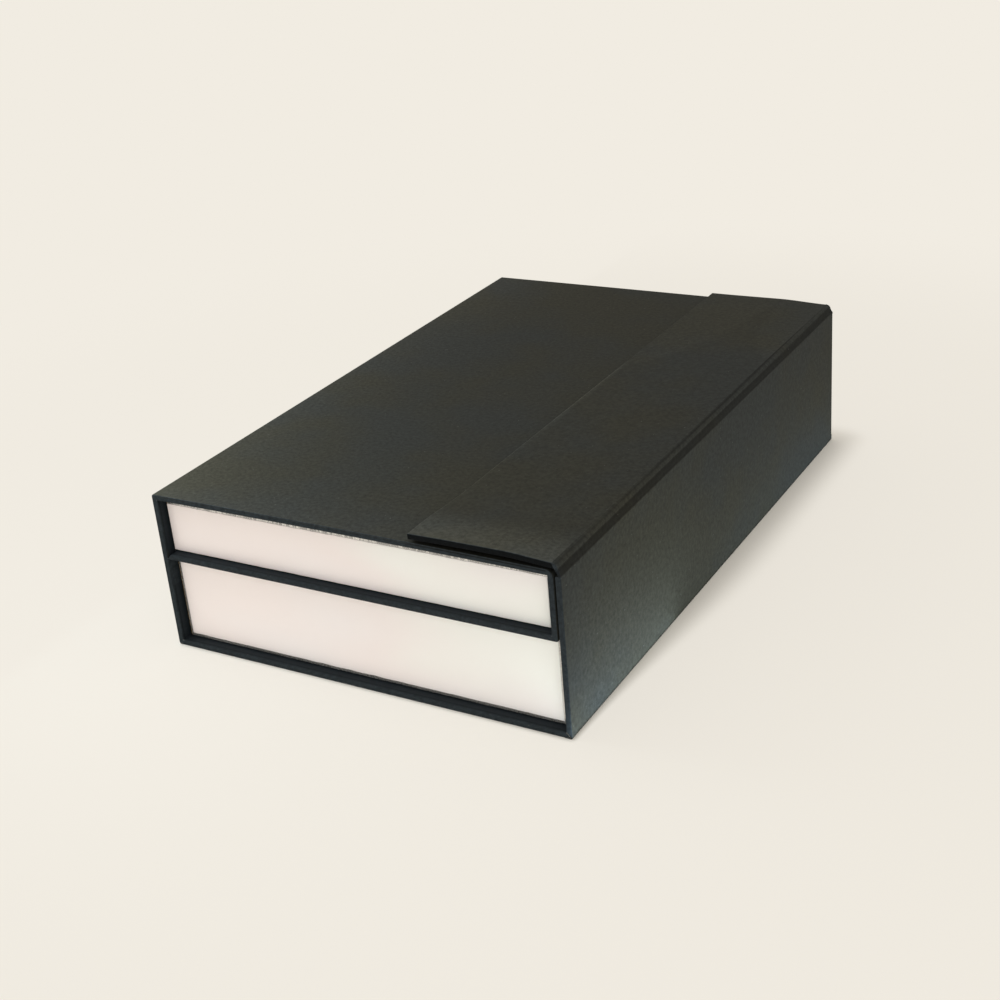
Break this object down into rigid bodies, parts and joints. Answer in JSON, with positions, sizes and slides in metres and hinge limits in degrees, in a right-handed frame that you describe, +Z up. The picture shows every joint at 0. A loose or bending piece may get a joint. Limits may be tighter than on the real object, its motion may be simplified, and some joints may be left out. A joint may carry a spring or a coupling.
{
  "type": "sliding drawer gift box",
  "caption": "Rigid black gift box with a shallow drawer over a deep drawer, wrapped by a hinged side wall and a magnetic flap that closes over the top.",
  "frame": {"origin": "centre of the box's footprint, on the surface that it stands on", "axes": "+Z up, -Y out of the front where the drawers show and slide out, +X towards the hinged side wall"},
  "size_m": [0.18, 0.28, 0.0705],
  "materials": {
    "greyboard": "matte",
    "black_cover_paper": "matte, fine grain",
    "black_lining_paper": "matte",
    "foil_paper": "pearl silver foil, satin",
    "foil_facing": "pearl silver foil, satin",
    "tray_lining": "satin",
    "kraft_tape": "matte",
    "bright_steel": "nickel plated"
  },
  "bodies": {
    "case": {"bottom_board": "greyboard", "left_wall_board": "greyboard", "top_board": "greyboard", "inner_wall_board": "greyboard", "shelf_board": "greyboard", "bottom_cover_paper": "black_cover_paper", "case_cover_paper": "black_cover_paper", "case_lining_paper": "black_lining_paper", "keeper_plates": "bright_steel", "lower_crease_paper": "black_cover_paper"},
    "side_wall": {"side_wall_board": "greyboard", "side_wall_cover_paper": "black_cover_paper", "side_wall_lining_paper": "black_lining_paper"},
    "flap_crease": {"flap_crease_paper": "black_cover_paper"},
    "flap": {"flap_board": "greyboard", "flap_cover_paper": "black_cover_paper", "flap_lining_paper": "black_lining_paper", "flap_magnets": "bright_steel"},
    "upper_drawer": {"upper_base_board": "greyboard", "upper_front_board": "greyboard", "upper_back_board": "greyboard", "upper_left_board": "greyboard", "upper_right_board": "greyboard", "upper_corner_tapes": "kraft_tape", "upper_wrap_paper": "foil_paper", "upper_front_facing": "foil_facing", "upper_floor_lining": "tray_lining"},
    "lower_drawer": {"lower_base_board": "greyboard", "lower_front_board": "greyboard", "lower_back_board": "greyboard", "lower_left_board": "greyboard", "lower_right_board": "greyboard", "lower_corner_tapes": "kraft_tape", "lower_wrap_paper": "foil_paper", "lower_front_facing": "foil_facing", "lower_floor_lining": "tray_lining"}
  },
  "joints": [
    {"name": "upper_drawer_slide", "type": "slide", "parent": "case", "child": "upper_drawer", "axis": [0, -1, 0], "range_m": [0, 0.24]},
    {"name": "lower_drawer_slide", "type": "slide", "parent": "case", "child": "lower_drawer", "axis": [0, -1, 0], "range_m": [0, 0.24]},
    {"name": "side_wall_hinge", "type": "hinge", "parent": "case", "child": "side_wall", "pos_m": [0.09, 0, 0], "axis": [0, 1, 0], "range_deg": [0, 90], "deforming": ["lower_crease_paper"]},
    {"name": "flap_crease_hinge", "type": "hinge", "parent": "side_wall", "child": "flap_crease", "pos_m": [0.09, 0, 0.0653], "axis": [0, 1, 0], "range_deg": [0, 27.44]},
    {"name": "flap_hinge", "type": "hinge", "parent": "flap_crease", "child": "flap", "pos_m": [0.0873, 0, 0.0705], "axis": [0, 1, 0], "range_deg": [0, 62.56]}
  ],
  "couplings": [
    {"joint": "flap_crease_hinge", "follows": "flap_hinge", "ratio": 0.43861}
  ]
}
